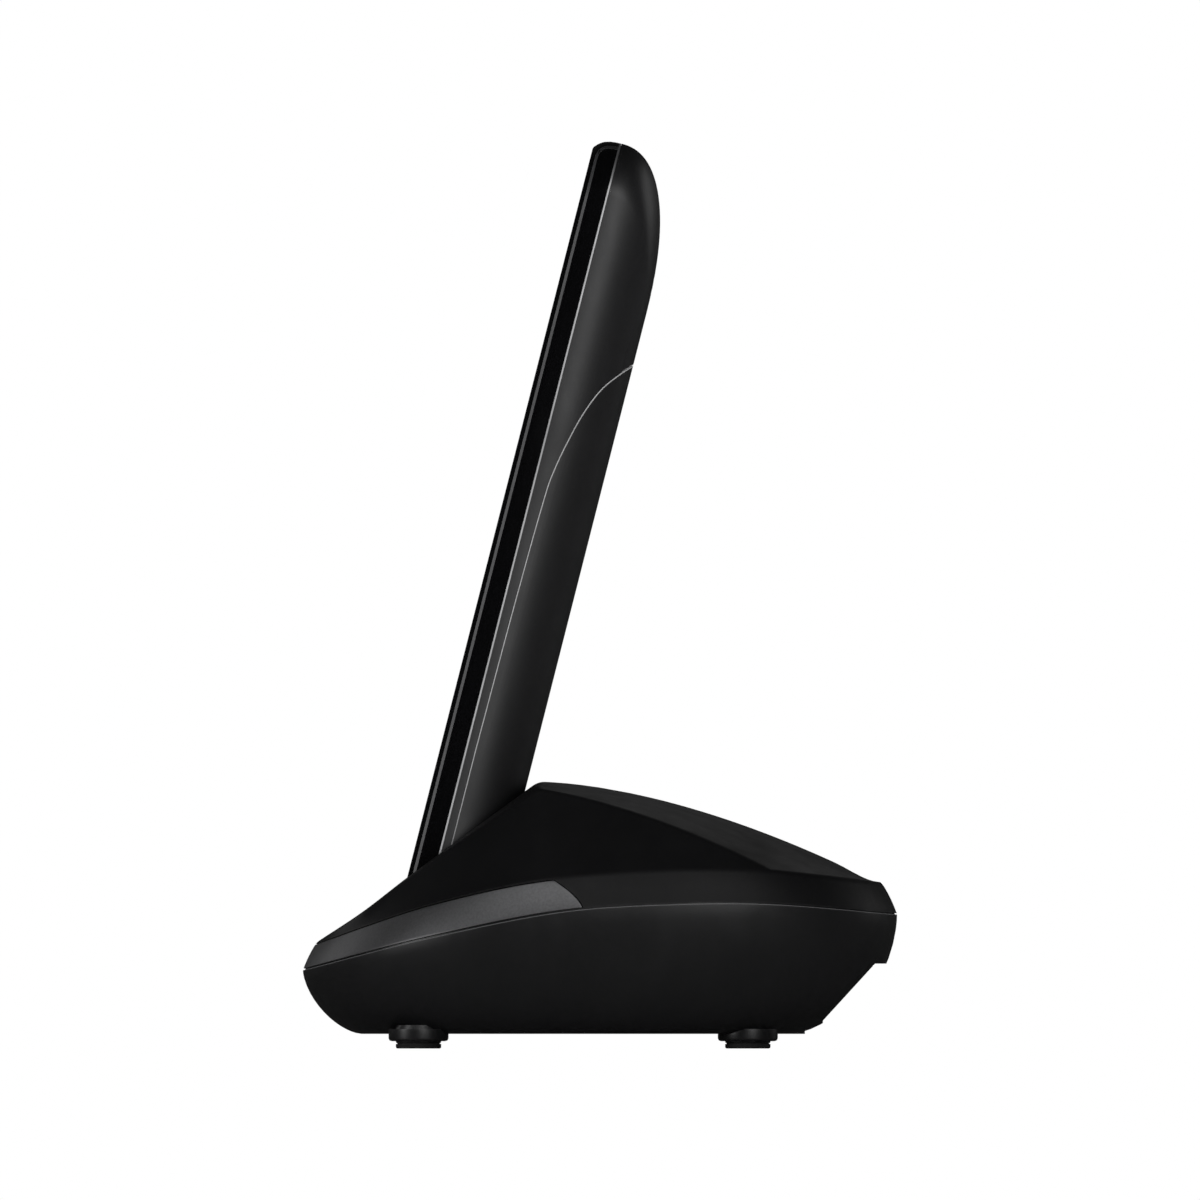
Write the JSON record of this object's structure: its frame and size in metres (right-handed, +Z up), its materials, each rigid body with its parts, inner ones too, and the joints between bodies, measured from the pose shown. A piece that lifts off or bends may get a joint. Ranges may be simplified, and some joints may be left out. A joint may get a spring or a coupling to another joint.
{
  "type": "cordless phone with base",
  "caption": "Slim cordless telephone handset leaning upright in a low humped charging base with rubber feet, rear sockets and a lift-out cradle.",
  "frame": {"origin": "centre of the base's footprint, on the surface that the rubber feet rest on", "axes": "+Z up, -Y towards the front where the keys face, +X to the right seen from the front"},
  "size_m": [0.104, 0.1218, 0.1859],
  "materials": {
    "case_gloss_black": "high gloss black moulding, fine polish marks",
    "case_satin_black": "fine satin texture, black",
    "housing_black": "fine satin texture, black",
    "trim_graphite": "graphite grey semi-gloss",
    "trim_silver": "thin silver plated line",
    "foot_rubber": "soft matt rubber",
    "key_plastic": null,
    "key_green": "satin green key cap",
    "key_red": "satin red key cap",
    "window_lens": "smoked gloss lens",
    "display_glass": "dark display module",
    "light_lens": "amber tinted lens",
    "contact_gold": "plated contact metal",
    "screw_steel": "zinc plated steel",
    "board_green": "green solder mask",
    "cell_sleeve": "shrink sleeve on a steel can",
    "speaker_grey": "speaker frame",
    "mat_rubber": "silicone key mat"
  },
  "bodies": {
    "base": {"base_lower_housing": "housing_black", "base_upper_housing": "housing_black", "base_front_trim": "trim_graphite", "foot_pad_front_left": "foot_rubber", "foot_pad_front_right": "foot_rubber", "foot_pad_rear_left": "foot_rubber", "foot_pad_rear_right": "foot_rubber", "base_screw_front_left": "screw_steel", "base_screw_front_right": "screw_steel", "base_screw_rear_left": "screw_steel", "base_screw_rear_right": "screw_steel", "base_circuit_board": "board_green", "line_jack": "housing_black", "power_jack": "housing_black", "charge_light_lens": "light_lens", "page_switch_board": "board_green", "contact_carrier": "housing_black", "base_aerial": "contact_gold"},
    "page_button": {"page_button": "trim_graphite"},
    "charge_contact_left": {"charge_contact_left": "contact_gold"},
    "charge_contact_right": {"charge_contact_right": "contact_gold"},
    "handset": {"handset_front_case": "case_gloss_black", "handset_trim_band": "trim_silver", "handset_rear_case": "case_satin_black", "display_window": "window_lens", "display_module": "display_glass", "handset_circuit_board": "board_green", "earpiece_speaker": "speaker_grey", "ringer_speaker": "speaker_grey", "microphone": "screw_steel", "handset_aerial": "contact_gold", "battery_cell_left": "cell_sleeve", "battery_cell_right": "cell_sleeve", "battery_spring_contact": "screw_steel", "battery_plate_contact": "screw_steel", "charge_pad_left": "contact_gold", "charge_pad_right": "contact_gold", "handset_screw_left": "screw_steel", "handset_screw_right": "screw_steel", "key_mat": "mat_rubber"},
    "battery_door": {"battery_door": "case_satin_black"},
    "key_0": {"key_0": "key_plastic"},
    "key_1": {"key_1": "key_plastic"},
    "key_2": {"key_2": "key_plastic"},
    "key_3": {"key_3": "key_plastic"},
    "key_4": {"key_4": "key_plastic"},
    "key_5": {"key_5": "key_plastic"},
    "key_6": {"key_6": "key_plastic"},
    "key_7": {"key_7": "key_plastic"},
    "key_8": {"key_8": "key_plastic"},
    "key_9": {"key_9": "key_plastic"},
    "key_star": {"key_star": "key_plastic"},
    "key_hash": {"key_hash": "key_plastic"},
    "key_talk": {"key_talk": "key_green"},
    "key_recall": {"key_recall": "key_plastic"},
    "key_off": {"key_off": "key_red"},
    "key_soft_left": {"key_soft_left": "key_plastic"},
    "key_navigation": {"key_navigation": "trim_graphite"},
    "key_soft_right": {"key_soft_right": "key_plastic"}
  },
  "joints": [
    {"name": "handset_lift", "type": "slide", "parent": "base", "child": "handset", "axis": [0, 0.2465, 0.9691], "range_m": [0, 0.06]},
    {"name": "battery_door_slide", "type": "slide", "parent": "handset", "child": "battery_door", "axis": [0, -0.2465, -0.9691], "range_m": [0, 0.004]},
    {"name": "page_button_press", "type": "slide", "parent": "base", "child": "page_button", "axis": [0, 0.5441, -0.839], "range_m": [0, 0.0007], "stiffness_N_per_m": 900},
    {"name": "charge_contact_left_press", "type": "slide", "parent": "base", "child": "charge_contact_left", "axis": [0, -0.2465, -0.9691], "range_m": [0, 0.0008], "stiffness_N_per_m": 600},
    {"name": "charge_contact_right_press", "type": "slide", "parent": "base", "child": "charge_contact_right", "axis": [0, -0.2465, -0.9691], "range_m": [0, 0.0008], "stiffness_N_per_m": 600},
    {"name": "key_0_press", "type": "slide", "parent": "handset", "child": "key_0", "axis": [0, 0.9691, -0.2465], "range_m": [0, 0.0006], "stiffness_N_per_m": 1000},
    {"name": "key_1_press", "type": "slide", "parent": "handset", "child": "key_1", "axis": [0, 0.9691, -0.2465], "range_m": [0, 0.0006], "stiffness_N_per_m": 1000},
    {"name": "key_2_press", "type": "slide", "parent": "handset", "child": "key_2", "axis": [0, 0.9691, -0.2465], "range_m": [0, 0.0006], "stiffness_N_per_m": 1000},
    {"name": "key_3_press", "type": "slide", "parent": "handset", "child": "key_3", "axis": [0, 0.9691, -0.2465], "range_m": [0, 0.0006], "stiffness_N_per_m": 1000},
    {"name": "key_4_press", "type": "slide", "parent": "handset", "child": "key_4", "axis": [0, 0.9691, -0.2465], "range_m": [0, 0.0006], "stiffness_N_per_m": 1000},
    {"name": "key_5_press", "type": "slide", "parent": "handset", "child": "key_5", "axis": [0, 0.9691, -0.2465], "range_m": [0, 0.0006], "stiffness_N_per_m": 1000},
    {"name": "key_6_press", "type": "slide", "parent": "handset", "child": "key_6", "axis": [0, 0.9691, -0.2465], "range_m": [0, 0.0006], "stiffness_N_per_m": 1000},
    {"name": "key_7_press", "type": "slide", "parent": "handset", "child": "key_7", "axis": [0, 0.9691, -0.2465], "range_m": [0, 0.0006], "stiffness_N_per_m": 1000},
    {"name": "key_8_press", "type": "slide", "parent": "handset", "child": "key_8", "axis": [0, 0.9691, -0.2465], "range_m": [0, 0.0006], "stiffness_N_per_m": 1000},
    {"name": "key_9_press", "type": "slide", "parent": "handset", "child": "key_9", "axis": [0, 0.9691, -0.2465], "range_m": [0, 0.0006], "stiffness_N_per_m": 1000},
    {"name": "key_star_press", "type": "slide", "parent": "handset", "child": "key_star", "axis": [0, 0.9691, -0.2465], "range_m": [0, 0.0006], "stiffness_N_per_m": 1000},
    {"name": "key_hash_press", "type": "slide", "parent": "handset", "child": "key_hash", "axis": [0, 0.9691, -0.2465], "range_m": [0, 0.0006], "stiffness_N_per_m": 1000},
    {"name": "key_talk_press", "type": "slide", "parent": "handset", "child": "key_talk", "axis": [0, 0.9691, -0.2465], "range_m": [0, 0.0006], "stiffness_N_per_m": 1000},
    {"name": "key_recall_press", "type": "slide", "parent": "handset", "child": "key_recall", "axis": [0, 0.9691, -0.2465], "range_m": [0, 0.0006], "stiffness_N_per_m": 1000},
    {"name": "key_off_press", "type": "slide", "parent": "handset", "child": "key_off", "axis": [0, 0.9691, -0.2465], "range_m": [0, 0.0006], "stiffness_N_per_m": 1000},
    {"name": "key_soft_left_press", "type": "slide", "parent": "handset", "child": "key_soft_left", "axis": [0, 0.9691, -0.2465], "range_m": [0, 0.0006], "stiffness_N_per_m": 1000},
    {"name": "key_navigation_press", "type": "slide", "parent": "handset", "child": "key_navigation", "axis": [0, 0.9691, -0.2465], "range_m": [0, 0.0006], "stiffness_N_per_m": 1000},
    {"name": "key_soft_right_press", "type": "slide", "parent": "handset", "child": "key_soft_right", "axis": [0, 0.9691, -0.2465], "range_m": [0, 0.0006], "stiffness_N_per_m": 1000}
  ]
}
